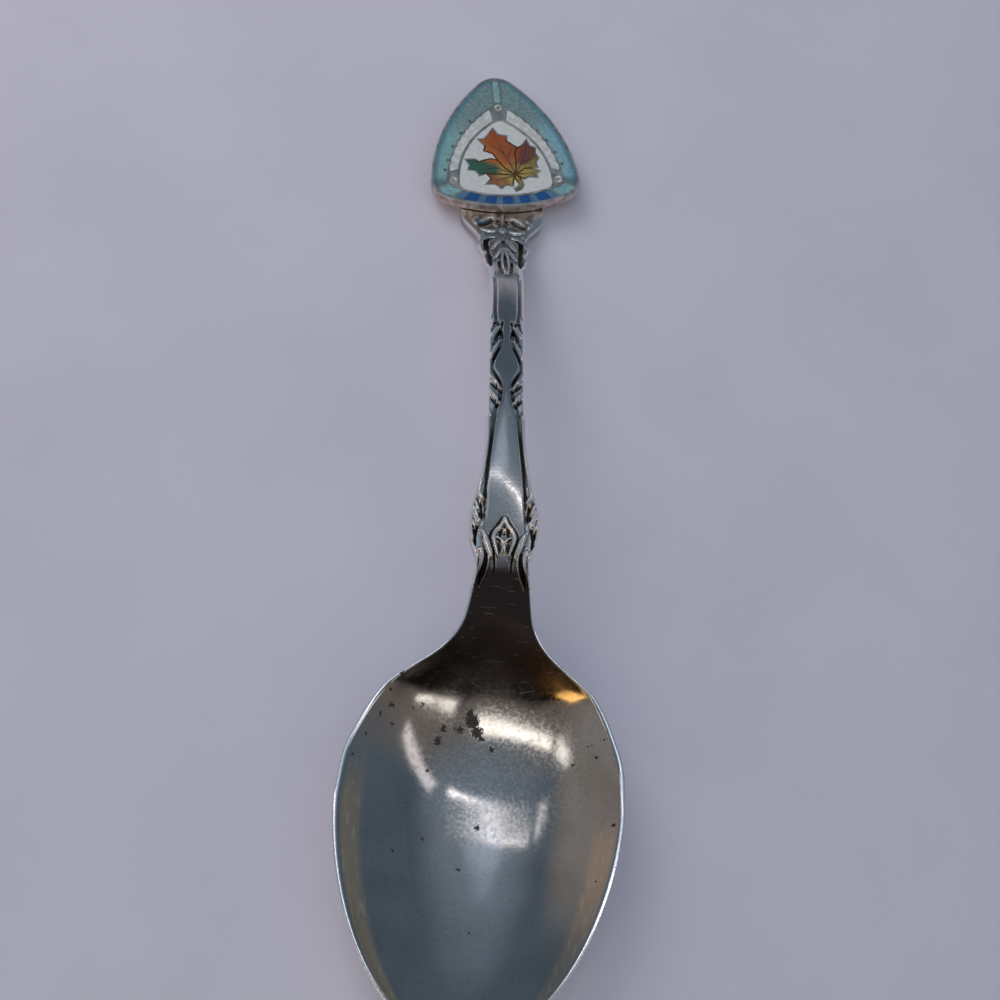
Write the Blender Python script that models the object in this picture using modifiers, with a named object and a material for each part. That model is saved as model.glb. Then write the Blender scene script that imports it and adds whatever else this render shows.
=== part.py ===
"""Souvenir spoon: bowl and stem struck in one piece, and an enamelled finial soldered on the stem's head.

Dimensions are in millimetres, and the meshes are scaled to metres when they are made. "Station" means the
distance from the bowl's tip along the spoon. The tip points to -Y, the finial to +Y, and the table is z = 0.
"""

import math

import bmesh
import bpy
import numpy as np
from mathutils import Matrix

MM = 0.001

# Overall
LENGTH = 108.0
FIT_GAP = 0.03  # between pieces that are fused or soldered together

# Bowl
BOWL_HALF_WIDTH = 13.2
BOWL_WIDEST = 20.4  # station of the widest place
TIP_POWER = 1.75  # 2 would make the tip half an ellipse, and less makes it more pointed
TIP_FLAT = 0.03
HOLLOW_POWER = 2.2
RIM_LAND = 0.45

NECK = 38.0  # station where the bowl's hollow ends
TIP_SECTIONS = 15
BOWL_SECTIONS = 13
STEM_SECTIONS = 76
TONGUE_SECTIONS = 9

# Head of the stem: a tongue that carries the finial
TONGUE_START = 88.3
TONGUE_WIDEST = 92.0
TONGUE_END = 99.0
TONGUE_HALF_WIDTH = 5.0
HEAD_THICK = 1.5

# (station, half width) of the outline, from the widest place of the bowl to the tongue
OUTLINE = (
    (20.4, 13.2), (23.9, 12.9), (27.5, 11.64), (30.6, 9.86), (32.5, 7.54), (34.2, 5.28), (35.7, 4),
    (37.1, 3.36), (39.7, 2.88), (42.4, 2.48), (43.3, 2.84), (44.7, 3.28), (46, 3.36), (47.8, 2.92),
    (49.7, 2.46), (51.6, 2.14), (53.8, 1.92), (55.6, 1.9), (56.7, 1.68), (63.6, 1.66), (78.4, 1.84),
    (79.9, 2.44), (81.2, 2.3), (83, 2.86), (84.4, 2.62), (85.8, 2.92), (88.7, 4.62), (92, 5),
)
# (station, height of the upper edge above the table)
EDGE_HEIGHT = (
    (0, 5.0), (10, 6.0), (20, 6.9), (27, 7.4), (32, 8.0), (36, 8.9), (40, 10.2), (45, 12.0),
    (50, 13.5), (54, 14.2), (58, 14.5), (62, 14.1), (67, 12.6), (72, 10.3), (77, 7.5), (81, 5.1),
    (84, 3.3), (86.5, 2.1), (88.3, 1.5), (99, 1.5),
)
# (station, how far the middle lies to +x), because the stem is slightly bowed sideways
SWAY = (
    (0, -0.4), (10, -0.25), (20.4, 0.0), (28, 0.2), (34, 0.4), (39, 0.6), (44, 0.45), (47, 0.33), (50, 0.13),
    (54, -0.08), (59, -0.3), (66, -0.47), (74, -0.4), (80, -0.6), (86, -0.85), (92, -1.1), (99, -1.4),
)
# (station, depth of the bowl's hollow)
HOLLOW = (
    (0, 0), (1.5, 1.1), (4, 2.4), (8, 3.9), (13, 5.2), (18, 5.8), (22, 5.75), (26, 5.0), (30, 3.5),
    (33, 2.0), (35.5, 0.8), (38, 0), (99, 0),
)
# (station, thickness of the metal at the middle)
THICKNESS = (
    (0, 0.7), (8, 1.0), (30, 1.0), (40, 2.0), (45, 2.4), (60, 2.0), (72, 1.7), (80, 1.7), (84, 1.9),
    (86, 1.86), (88, 1.5), (99, 1.5),
)
# (station, height of the side wall)
WALL = ((0, 0.5), (32, 0.55), (42, 1.1), (60, 1.0), (82, 0.9), (88, 1.5), (99, 1.5))
# (station, half width of the smooth panel down the middle of the stem)
PANEL = (
    (0, 0.01), (20, 7.5), (32.3, 3.8), (38, 1.4), (42.7, 1), (45.4, 1.2), (48.9, 1.7), (52.5, 1.35),
    (55.1, 0.95), (56.9, 0.6), (59.7, 0.4), (61.5, 1.3), (63.1, 0.95), (65.2, 0.4), (66.6, 0.45),
    (68.2, 1), (77.1, 1.1), (84.7, 0.9), (88.4, 1.5), (99, 0.4),
)
# (station, how far the panel stands above its grooves)
PANEL_RISE = ((0, 0), (40.9, 0), (45.4, 0.3), (57.8, 0.35), (77.1, 0.3), (84.7, 0.2), (88.4, 0), (99, 0))
PANEL_SHARES = (0, 0.4, 0.75, 1)  # places across the panel, as shares of its half width
SHOULDER_SHARES = (0.4, 0.75, 1)  # and from its groove to the edge
PANEL_FALL = 0.6  # share of the rise that is lost from the panel's middle to its edge
SHOULDER_RISE = 0.3  # height outside the groove, as a share of the panel's rise
BOWL_END = 36.0  # station where the rim land gives way to the stem's edge
MOST_LAND = 0.35  # the land's largest share of the half width
STEM_INNER = 0.94  # share of the half width that the stem's face takes
GROOVE_HALF_WIDTH = 0.14
MOST_GROOVE = 0.08  # and the groove's largest share of the half width
SIDE_ROUNDING = 0.12
MOST_ROUNDING = 0.2
SHARP_ANGLE = math.radians(40)
BEVEL_ANGLE = math.radians(60)
BACK_SHARES = (1, 0.95, 0.85, 0.7, 0.52, 0.3, 0)  # places across the back, as shares of the half width

# Finial. Its own plane has x across and v along it, from the centre of the three rosettes.
FINIAL_CENTRE = 96.62  # station of v = 0
FINIAL_SIDE = -1.35
FINIAL_TURN = math.radians(8)  # it is soldered on slightly askew
PLAQUE_THICK = 1.22
SOLDER_THICK = 0.07
SOLDER_ENDS = (90.2, 98.3)
SOLDER_POINTS = 9
SOLDER_INSET = 0.15
SOLDER_BOTTOM = HEAD_THICK + FIT_GAP
PLAQUE_BOTTOM = SOLDER_BOTTOM + SOLDER_THICK + FIT_GAP
PLAQUE_TOP = PLAQUE_BOTTOM + PLAQUE_THICK
PLAQUE_EDGE_ROUNDING = 0.12
CELL_DEPTH = 0.45
WIRE = 0.14  # thickness of the metal wire between two cells
LEAF_WIRE = 0.2  # and of the wire round the leaf
RIM = 0.34  # width of the plaque's rim
ROSETTE_RADIUS = 0.55
ROSETTE_SIDES = 16
ROSETTE_CIRCLE = 7.0  # the three rosettes stand on a circle of this radius
ROSETTE_ANGLES = {"right": -30, "top": 90, "left": 210}
ARC_STEP = math.radians(9)
FINE_RADIUS = 8.0  # arcs of a larger radius get smaller steps
WELD = 0.001
LEAST_STRETCH = 0.5  # keeps the points of sharp corners from flying out when an outline grows

SPOON_PLACE = Matrix.Translation((0, -LENGTH / 2, 0))
FINIAL_PLACE = SPOON_PLACE @ Matrix.Translation((FINIAL_SIDE, FINIAL_CENTRE, 0))
FINIAL_PLACE = FINIAL_PLACE @ Matrix.Rotation(FINIAL_TURN, 4, "Z")

# Corner circles (x, v, radius) from the right corner anticlockwise, then the radii of the sides between them
PLAQUE_CORNERS = ((6.2, -3.5, 2.4), (0.0, 8.8, 2.7), (-6.2, -3.5, 2.4))
PLAQUE_SIDES = (22.0, 22.0, 18.0)
BAND_CORNERS = ((5.5, -3.3, 1.1), (0.0, 5.9, 1.3), (-5.5, -3.3, 1.1))
BAND_SIDES = (14.0, 14.0, 14.0)
GROUND_CORNERS = ((4.4, -3.85, 0.95), (0.0, 4.1, 0.9), (-4.4, -3.85, 0.95))
GROUND_SIDES = (10.5, 10.5, 14.0)

# Angles about the finial's centre, in degrees from +x: the right-hand cell of each mirrored pair
BORDER_SPAN = (-29.0, 87.0)
WHITE_BAND_SPAN = (-19.0, 81.0)
SCROLL_SPAN = (-42.5, -31.0)
SCROLL_DEPTH = 1.3
SCALLOPS = 9
SCALLOP_HEIGHT = 0.16
SCALLOP_STEPS = 4
NAME_STEP = 2.6
APEX_BAR_HALF_WIDTH = 0.34
APEX_BAR_ENDS = (7.75, 10.9)
NAME_CELLS = 5  # the band below the leaf, where such a spoon carries a name, has plain cells and bars
NAME_CELL_PITCH = 17.2
NAME_CELL_SPAN = 10.4
NAME_BAR_SPAN = 4.6
NAME_END_SPAN = 4.6
WIRE_ANGLE = 1.1  # the wire between two cells of the band, as an angle

# Outlines of the leaf's cells in the finial's plane, anticlockwise
LEAF = {
    "leaf_top": (
        (1.12, -2.55), (1.3, -1.0), (1.3, 0.3), (1.5, 1.15), (0.45, 2.05), (0.55, 2.75), (-0.45, 2.95),
        (-0.9, 3.75), (-1.55, 2.9), (-1.95, 2.35), (-2.6, 2.3), (-1.9, 1.4), (-2.1, 0.75), (-1.15, 0.35),
        (-0.65, -0.6), (0.1, -1.75),
    ),
    "leaf_right": (
        (1.3, -2.55), (2.35, -1.75), (3.75, -1.7), (3.6, -1.0), (4.0, -0.4), (3.65, 0.3), (3.75, 1.0),
        (3.1, 1.3), (2.9, 2.15), (2.3, 1.25), (1.8, 1.05), (1.5, 0.3), (1.5, -1.0),
    ),
    "leaf_left": (
        (0.98, -2.7), (-0.02, -1.93), (-0.8, -0.75), (-1.5, -0.55), (-2.3, -0.75), (-2.9, -1.0),
        (-3.4, -0.6), (-4.3, -0.6), (-3.9, -1.3), (-4.1, -1.9), (-3.3, -2.1), (-2.95, -2.75),
        (-2.2, -2.4), (-1.0, -2.55),
    ),
    "leaf_low_right": (
        (1.4, -2.78), (2.15, -3.3), (2.7, -3.0), (3.6, -3.1), (3.5, -2.65), (3.9, -2.3), (3.0, -1.95),
        (2.35, -1.98),
    ),
    "leaf_low_left": (
        (1.0, -2.92), (-0.95, -2.76), (-1.95, -2.75), (-1.55, -3.3), (-2.2, -4.0), (-1.3, -3.95),
        (-0.6, -4.6), (-0.1, -4.1), (0.7, -4.3), (0.75, -3.65),
    ),
    "leaf_stem": (
        (1.3, -2.98), (1.12, -3.2), (1.45, -3.75), (1.6, -4.15), (1.45, -4.5), (1.0, -4.8),
        (1.1, -5.0), (1.7, -4.7), (1.9, -4.15), (1.75, -3.6),
    ),
}

# Base colour, metallic and roughness of each material
SILVER = ((0.62, 0.63, 0.64), 1.0, 0.25)
SOLDER = ((0.45, 0.45, 0.44), 1.0, 0.4)
TURQUOISE = ((0.25, 0.47, 0.52), 0.0, 0.12)
PALE_TURQUOISE = ((0.42, 0.62, 0.62), 0.0, 0.12)
WHITE = ((0.75, 0.78, 0.74), 0.0, 0.12)
ROYAL_BLUE = ((0.01, 0.09, 0.33), 0.0, 0.1)
SKY_BLUE = ((0.12, 0.3, 0.48), 0.0, 0.12)
LEAF_COLOURS = {
    "leaf_top": ((0.42, 0.1, 0.02), 0.0, 0.12),
    "leaf_right": ((0.25, 0.06, 0.03), 0.0, 0.12),
    "leaf_left": ((0.02, 0.09, 0.06), 0.0, 0.12),
    "leaf_low_right": ((0.08, 0.2, 0.07), 0.0, 0.12),
    "leaf_low_left": ((0.4, 0.16, 0.03), 0.0, 0.12),
    "leaf_stem": ((0.3, 0.18, 0.08), 0.0, 0.12),
}


def curve_through(table):
    """A function through the (station, value) rows that never overshoots between two rows."""
    x, y = np.array(table, float).T
    gaps = np.diff(x)
    slopes = np.diff(y) / gaps
    ends = slopes[:-1] * slopes[1:]
    total = np.abs(slopes[:-1] + slopes[1:])
    inner = np.where(ends > 0, 2 * ends * np.sign(slopes[1:]) / np.maximum(total, 1e-9), 0)
    tangents = np.concatenate([[slopes[0]], inner, [slopes[-1]]])

    def value(at):
        i = np.clip(np.searchsorted(x, at) - 1, 0, len(gaps) - 1)
        t = np.clip((at - x[i]) / gaps[i], 0, 1)
        bend = (tangents[i] * (1 - t) - tangents[i + 1] * t) * gaps[i] + (y[i] - y[i + 1]) * (1 - 2 * t)
        return float(y[i] * (1 - t) + y[i + 1] * t + t * (1 - t) * bend)

    return value


outline_width = curve_through(OUTLINE)
edge_height = curve_through(EDGE_HEIGHT)
hollow_depth = curve_through(HOLLOW)
metal_thickness = curve_through(THICKNESS)
wall_height = curve_through(WALL)
panel_width = curve_through(PANEL)
panel_rise = curve_through(PANEL_RISE)
sway = curve_through(SWAY)


def half_width(station):
    if station < BOWL_WIDEST:
        along = (BOWL_WIDEST - station - TIP_FLAT) / BOWL_WIDEST
        return BOWL_HALF_WIDTH * math.sqrt(1 - max(along, 0) ** TIP_POWER)
    if station > TONGUE_WIDEST:
        along = (station - TONGUE_WIDEST) / (TONGUE_END - TONGUE_WIDEST + TIP_FLAT)
        return TONGUE_HALF_WIDTH * math.sqrt(1 - along**2)
    return outline_width(station)


def upper_half(station):
    """(x, z) points of the upper face from the middle to the edge."""
    width = half_width(station)
    land = min(RIM_LAND, MOST_LAND * width)
    inner = width - land if station < BOWL_END else width * STEM_INNER
    groove = min(GROOVE_HALF_WIDTH, MOST_GROOVE * width)
    panel = min(panel_width(station), inner - 3 * groove)
    outside = panel + 2 * groove
    xs = [panel * share for share in PANEL_SHARES] + [panel + groove, outside]
    xs += [outside + (inner - outside) * share for share in SHOULDER_SHARES]
    edge = edge_height(station)
    rise = panel_rise(station)
    points = []
    for x in xs:
        z = edge - hollow_depth(station) * (1 - (x / inner) ** HOLLOW_POWER)
        if x <= panel:
            z += rise * (1 - PANEL_FALL * (x / panel) ** 2)
        elif x > panel + groove:
            z += SHOULDER_RISE * rise * (1 - ((x - outside) / (inner - outside)) ** 2)
        points.append((x, z))
    points.append((width - min(SIDE_ROUNDING, MOST_ROUNDING * width), edge))
    return points


def lower_half(station):
    """(x, z) points of the side wall and the back, from the edge to the middle."""
    width = half_width(station)
    edge = edge_height(station)
    wall = wall_height(station)
    belly = hollow_depth(station) + metal_thickness(station) - wall
    points = [(width, edge - SIDE_ROUNDING)]
    for share in BACK_SHARES:
        points.append((width * share, max(edge - wall - belly * (1 - share**HOLLOW_POWER), 0)))
    return points


def spoon_stations():
    """Stations of the cross-sections, closer together at the tip and along the ornament."""
    tip = [BOWL_WIDEST * (1 - math.cos(turn)) for turn in np.linspace(0, math.pi / 2, TIP_SECTIONS)]
    bowl = np.linspace(BOWL_WIDEST, NECK, BOWL_SECTIONS)[1:]
    stem = np.linspace(NECK, TONGUE_START, STEM_SECTIONS)[1:]
    turns = np.linspace(0, math.pi / 2, TONGUE_SECTIONS)[1:]
    tongue = [TONGUE_START + (TONGUE_END - TONGUE_START) * math.sin(turn) for turn in turns]
    return [*tip, *bowl, *stem, *tongue]


def new_object(name, mesh, collection):
    """The mesh, given in millimetres, as an object of the collection in metres."""
    mesh.transform(Matrix.Scale(MM, 4))
    body = bpy.data.objects.new(name, mesh)
    collection.objects.link(body)
    return body


def spoon_mesh():
    """The bowl and stem, as cross-sections joined by quads and closed by a cap at each end."""
    form = bmesh.new()
    rings = []
    for station in spoon_stations():
        upper = upper_half(station)
        lower = lower_half(station)
        right = upper + lower
        left = [(-x, z) for x, z in reversed(right[1:-1])]
        y = station - LENGTH / 2
        side = sway(station)
        rings.append([form.verts.new((side + x, y, z)) for x, z in right + left])
    for near, far in zip(rings, rings[1:]):
        for i in range(len(near)):
            after = (i + 1) % len(near)
            form.faces.new((near[i], near[after], far[after], far[i]))
    form.faces.new(rings[0])
    form.faces.new(rings[-1])
    bmesh.ops.recalc_face_normals(form, faces=form.faces)
    mesh = bpy.data.meshes.new("spoon_body")
    form.to_mesh(mesh)
    form.free()
    mesh.shade_smooth()
    mesh.set_sharp_from_angle(angle=SHARP_ANGLE)
    return mesh


def arc(centre, radius, start, end):
    """Points anticlockwise along an arc, from the angle start to the angle end."""
    steps = max(2, math.ceil((end - start) / ARC_STEP * max(1, radius / FINE_RADIUS)))
    turns = (start + (end - start) * i / steps for i in range(steps + 1))
    return [(centre[0] + radius * math.cos(turn), centre[1] + radius * math.sin(turn)) for turn in turns]


def circle(centre, radius):
    turns = [2 * math.pi * i / ROSETTE_SIDES for i in range(ROSETTE_SIDES)]
    return [(centre[0] + radius * math.cos(turn), centre[1] + radius * math.sin(turn)) for turn in turns]


def side_centre(first, second, radius):
    """Centre of the arc that touches both corner circles from outside, bulging away from the middle."""
    (ax, av, ar), (bx, bv, br) = first, second
    reach_a, reach_b = radius - ar, radius - br
    apart = math.hypot(bx - ax, bv - av)
    along = (apart**2 + reach_a**2 - reach_b**2) / (2 * apart)
    aside = math.sqrt(reach_a**2 - along**2)
    ux, uv = (bx - ax) / apart, (bv - av) / apart
    return ax + ux * along - uv * aside, av + uv * along + ux * aside


def bulged_triangle(corners, sides, inset=0.0):
    """Outline of three corner arcs and three bulging side arcs, moved inwards by the inset."""
    corners = [(x, v, radius - inset) for x, v, radius in corners]
    sides = [radius - inset for radius in sides]
    centres = [side_centre(corners[i], corners[(i + 1) % 3], sides[i]) for i in range(3)]
    points = []
    for i, (x, v, radius) in enumerate(corners):
        before, after = centres[i - 1], centres[i]
        start = math.atan2(v - before[1], x - before[0])
        end = math.atan2(v - after[1], x - after[0])
        end += 2 * math.pi * (end < start)
        points += arc((x, v), radius, start, end)
        far_x, far_v, _ = corners[(i + 1) % 3]
        finish = math.atan2(far_v - after[1], far_x - after[0])
        finish += 2 * math.pi * (finish < end - math.pi)
        points += arc(after, sides[i], end, finish)[1:-1]
    return points


def edge_radius(outline):
    """A function from an angle, in degrees, to the outline's distance from the finial's centre."""
    turns = np.degrees([math.atan2(v, x) for x, v in outline])
    reach = [math.hypot(x, v) for x, v in outline]
    order = np.argsort(turns)
    return lambda turn: float(np.interp(turn, turns[order], np.array(reach)[order], period=360))


def around(turn, radius):
    return radius * math.cos(math.radians(turn)), radius * math.sin(math.radians(turn))


def sector(outer, inner, span, step=5.0, scallops=0):
    """Outline between two edges, over a span of angles. Scallops make the outer edge wavy."""
    steps = max(2, round((span[1] - span[0]) / step)) if not scallops else scallops * SCALLOP_STEPS
    turns = [span[0] + (span[1] - span[0]) * i / steps for i in range(steps + 1)]
    far = []
    for i, turn in enumerate(turns):
        wave = (1 - abs(math.sin(math.pi * i / SCALLOP_STEPS))) * bool(scallops)
        far.append(around(turn, outer(turn) - SCALLOP_HEIGHT * wave))
    near = [around(turn, inner(turn)) for turn in reversed(turns)]
    return far + near


def clear_of_rosettes(outline):
    """The outline with the points near a rosette pushed out of it."""
    clear = ROSETTE_RADIUS + WIRE
    moved = []
    for x, v in outline:
        for turn in ROSETTE_ANGLES.values():
            cx, cv = around(turn, ROSETTE_CIRCLE)
            away = math.hypot(x - cx, v - cv)
            if away < clear:
                x, v = cx + (x - cx) * clear / away, cv + (v - cv) * clear / away
        moved.append((x, v))
    return moved


def mirrored(outline):
    return [(-x, v) for x, v in reversed(outline)]


def grown(outline, amount):
    """The anticlockwise outline moved outwards by the amount."""
    points = [np.array(point) for point in outline]
    moved = []
    for before, here, after in zip([points[-1], *points[:-1]], points, [*points[1:], points[0]]):
        into = (here - before) / np.linalg.norm(here - before)
        out = (after - here) / np.linalg.norm(after - here)
        normal = np.array([into[1] + out[1], -into[0] - out[0]])
        normal /= np.linalg.norm(normal)
        stretch = max(LEAST_STRETCH, normal @ np.array([into[1], -into[0]]))
        moved.append(tuple(here + normal * amount / stretch))
    return moved


def material(name, look):
    colour, metallic, roughness = look
    made = bpy.data.materials.new(name)
    made.use_nodes = True
    shader = made.node_tree.nodes["Principled BSDF"]
    shader.inputs["Base Color"].default_value = (*colour, 1)
    shader.inputs["Metallic"].default_value = metallic
    shader.inputs["Roughness"].default_value = roughness
    made.diffuse_color = (*colour, 1)
    return made


def plate(name, outline, bottom, top, collection, place=FINIAL_PLACE):
    """A flat plate of an outline in the finial's plane, as a filled curve turned into a mesh."""
    curve = bpy.data.curves.new(name, "CURVE")
    curve.dimensions = "2D"
    curve.fill_mode = "BOTH"
    curve.extrude = (top - bottom) / 2
    spline = curve.splines.new("POLY")
    spline.points.add(len(outline) - 1)
    for point, (x, v) in zip(spline.points, outline):
        point.co = (x, v, 0, 1)
    spline.use_cyclic_u = True
    drawn = bpy.data.objects.new(name, curve)
    collection.objects.link(drawn)
    mesh = bpy.data.meshes.new_from_object(drawn.evaluated_get(bpy.context.evaluated_depsgraph_get()))
    bpy.data.objects.remove(drawn)
    mesh.transform(Matrix.Translation((0, 0, (bottom + top) / 2)) @ place)
    form = bmesh.new()
    form.from_mesh(mesh)
    bmesh.ops.remove_doubles(form, verts=form.verts, dist=WELD)
    bmesh.ops.recalc_face_normals(form, faces=form.faces)
    form.to_mesh(mesh)
    form.free()
    return new_object(name, mesh, collection)


def cut(body, collection):
    """Cuts every object of the collection out of the body."""
    boolean = body.modifiers.new("cut", "BOOLEAN")
    boolean.operation = "DIFFERENCE"
    boolean.solver = "EXACT"
    boolean.operand_type = "COLLECTION"
    boolean.collection = collection


def new_collection(name, parent, hidden=False):
    made = bpy.data.collections.new(name)
    parent.children.link(made)
    made.hide_render = hidden
    return made


def cutter(name, outline, collection):
    body = plate(name, outline, PLAQUE_TOP - CELL_DEPTH, PLAQUE_TOP + CELL_DEPTH, collection)
    body.hide_render = True
    body.display_type = "WIRE"
    return body


def enamel_cells():
    """(name, outline, look) of every enamel field except the leaf and its ground."""
    rim = edge_radius(bulged_triangle(PLAQUE_CORNERS, PLAQUE_SIDES, RIM))
    band_outer = edge_radius(bulged_triangle(BAND_CORNERS, BAND_SIDES))
    band_wire = edge_radius(bulged_triangle(BAND_CORNERS, BAND_SIDES, -WIRE))
    ground_wire = edge_radius(bulged_triangle(GROUND_CORNERS, GROUND_SIDES, -2 * WIRE))
    pairs = {
        "border": (sector(rim, band_wire, BORDER_SPAN), TURQUOISE),
        "white_band": (sector(band_outer, ground_wire, WHITE_BAND_SPAN, scallops=SCALLOPS), WHITE),
        "scroll": (sector(rim, lambda turn: rim(turn) - SCROLL_DEPTH, SCROLL_SPAN), PALE_TURQUOISE),
    }
    cells = []
    for name, (outline, look) in pairs.items():
        outline = clear_of_rosettes(outline)
        cells += [(f"{name}_right", outline, look), (f"{name}_left", mirrored(outline), look)]
    low, high = APEX_BAR_ENDS
    bar = APEX_BAR_HALF_WIDTH
    cells.append(("apex_bar", [(bar, low), (bar, high), (-bar, high), (-bar, low)], PALE_TURQUOISE))
    for name, turn in ROSETTE_ANGLES.items():
        ring = circle(around(turn, ROSETTE_CIRCLE), ROSETTE_RADIUS)
        cells.append((f"rosette_{name}", ring, PALE_TURQUOISE))

    def in_band(middle, span):
        ends = (middle - span / 2, middle + span / 2)
        return sector(rim, ground_wire, ends, step=NAME_STEP)

    half = (NAME_CELLS - 1) / 2
    for i in range(NAME_CELLS):
        middle = -90 + (i - half) * NAME_CELL_PITCH
        cells.append((f"name_cell_{i + 1}", in_band(middle, NAME_CELL_SPAN), ROYAL_BLUE))
    for i in range(NAME_CELLS - 1):
        middle = -90 + (i - half + 0.5) * NAME_CELL_PITCH
        cells.append((f"name_bar_{i + 1}", in_band(middle, NAME_BAR_SPAN), SKY_BLUE))
    reach = half * NAME_CELL_PITCH + (NAME_CELL_SPAN + NAME_END_SPAN) / 2 + WIRE_ANGLE
    cells.append(("name_end_right", in_band(-90 + reach, NAME_END_SPAN), SKY_BLUE))
    cells.append(("name_end_left", in_band(-90 - reach, NAME_END_SPAN), SKY_BLUE))
    return cells


def build():
    for old in list(bpy.data.objects):
        bpy.data.objects.remove(old)
    scene_root = bpy.context.scene.collection
    parts = new_collection("souvenir_spoon", scene_root)
    cutters = new_collection("cutters", scene_root, hidden=True)
    cells = new_collection("cell_cutters", cutters)
    leaf_in_ground = new_collection("leaf_in_ground", cutters)
    leaf_in_cutter = new_collection("leaf_in_cutter", cutters)

    body = new_object("spoon_body", spoon_mesh(), parts)
    body.data.materials.append(material("spoon_silver", SILVER))

    fields = enamel_cells()
    fields += [(name, outline, LEAF_COLOURS[name]) for name, outline in LEAF.items()]
    for name, outline, look in fields:
        field = plate(name, outline, PLAQUE_TOP - CELL_DEPTH + FIT_GAP, PLAQUE_TOP, parts)
        field.data.materials.append(material(name, look))
        cutter(f"{name}_cell", grown(outline, FIT_GAP), cells)
    for name, outline in LEAF.items():
        cutter(f"{name}_wall", grown(outline, LEAF_WIRE), leaf_in_ground)
        cutter(f"{name}_wire", grown(outline, LEAF_WIRE - FIT_GAP), leaf_in_cutter)

    ground_outline = clear_of_rosettes(bulged_triangle(GROUND_CORNERS, GROUND_SIDES))
    ground = plate("leaf_ground", ground_outline, PLAQUE_TOP - CELL_DEPTH + FIT_GAP, PLAQUE_TOP, parts)
    ground.data.materials.append(material("leaf_ground", WHITE))
    cut(ground, leaf_in_ground)
    cut(cutter("leaf_ground_cell", grown(ground_outline, FIT_GAP), cells), leaf_in_cutter)

    plaque_outline = bulged_triangle(PLAQUE_CORNERS, PLAQUE_SIDES)
    plaque = plate("finial_plaque", plaque_outline, PLAQUE_BOTTOM, PLAQUE_TOP, parts)
    edge = plaque.modifiers.new("edge rounding", "BEVEL")
    edge.width = PLAQUE_EDGE_ROUNDING * MM
    edge.segments = 1
    edge.limit_method = "ANGLE"
    edge.angle_limit = BEVEL_ANGLE
    plaque.data.materials.append(material("plaque_silver", SILVER))
    cut(plaque, cells)

    stations = np.linspace(*SOLDER_ENDS, SOLDER_POINTS)
    right = [(sway(station) + half_width(station) - SOLDER_INSET, station) for station in stations]
    left = [(sway(station) - half_width(station) + SOLDER_INSET, station) for station in reversed(stations)]
    solder_top = SOLDER_BOTTOM + SOLDER_THICK
    solder = plate("solder_seam", right + left, SOLDER_BOTTOM, solder_top, parts, SPOON_PLACE)
    solder.data.materials.append(material("solder", SOLDER))


build()
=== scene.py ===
"""Looks of the souvenir spoon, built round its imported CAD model.

Shapes are worked out in millimetres and made in metres. "Station" is the distance from the bowl's tip
along the spoon, x is across it, and v runs along the finial from the centre of its three rosettes.
"""

import math

import bmesh
import bpy
import numpy as np
from mathutils import Matrix, Quaternion, Vector


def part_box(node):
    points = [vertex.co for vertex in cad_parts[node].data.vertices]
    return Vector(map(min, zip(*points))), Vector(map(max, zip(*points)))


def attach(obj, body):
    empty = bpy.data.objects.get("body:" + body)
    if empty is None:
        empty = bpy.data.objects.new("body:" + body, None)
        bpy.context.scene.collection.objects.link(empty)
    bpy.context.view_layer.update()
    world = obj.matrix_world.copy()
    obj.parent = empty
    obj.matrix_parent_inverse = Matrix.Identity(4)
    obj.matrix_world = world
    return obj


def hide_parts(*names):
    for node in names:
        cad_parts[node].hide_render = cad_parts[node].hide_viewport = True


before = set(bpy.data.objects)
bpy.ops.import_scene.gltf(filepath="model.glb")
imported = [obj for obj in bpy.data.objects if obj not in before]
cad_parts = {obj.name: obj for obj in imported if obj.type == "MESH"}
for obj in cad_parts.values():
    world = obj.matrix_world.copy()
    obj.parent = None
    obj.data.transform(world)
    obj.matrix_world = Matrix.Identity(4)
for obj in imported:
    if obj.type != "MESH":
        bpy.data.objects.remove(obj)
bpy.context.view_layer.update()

MM = 0.001
LOW, HIGH = (1000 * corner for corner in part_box("spoon_body"))
PLAQUE_HIGH = 1000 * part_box("finial_plaque")[1]
TIP = LOW.y  # where station 0 lies

# The spoon body, as in the CAD
BOWL_HALF_WIDTH = (HIGH.x - LOW.x) / 2
BOWL_WIDEST = 20.4
TIP_POWER = 1.75
TIP_FLAT = 0.03
HOLLOW_POWER = 2.2
RIM_LAND = 0.45
TONGUE_WIDEST = 92.0
TONGUE_END = 99.0
TONGUE_HALF_WIDTH = 5.0
NECK = 38.0  # station where the bowl's hollow ends
ORNAMENT_END = 88.9
# (station, half width) of the outline, from the widest place of the bowl to the tongue
OUTLINE = (
    (20.4, 13.2), (23.9, 12.9), (27.5, 11.64), (30.6, 9.86), (32.5, 7.54), (34.2, 5.28), (35.7, 4),
    (37.1, 3.36), (39.7, 2.88), (42.4, 2.48), (43.3, 2.84), (44.7, 3.28), (46, 3.36), (47.8, 2.92),
    (49.7, 2.46), (51.6, 2.14), (53.8, 1.92), (55.6, 1.9), (56.7, 1.68), (63.6, 1.66), (78.4, 1.84),
    (79.9, 2.44), (81.2, 2.3), (83, 2.86), (84.4, 2.62), (85.8, 2.92), (88.7, 4.62), (92, 5),
)
# (station, height of the upper edge above the table)
EDGE_HEIGHT = (
    (0, 5.0), (10, 6.0), (20, 6.9), (27, 7.4), (32, 8.0), (36, 8.9), (40, 10.2), (45, 12.0),
    (50, 13.5), (54, 14.2), (58, 14.5), (62, 14.1), (67, 12.6), (72, 10.3), (77, 7.5), (81, 5.1),
    (84, 3.3), (86.5, 2.1), (88.3, 1.5), (99, 1.5),
)
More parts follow.
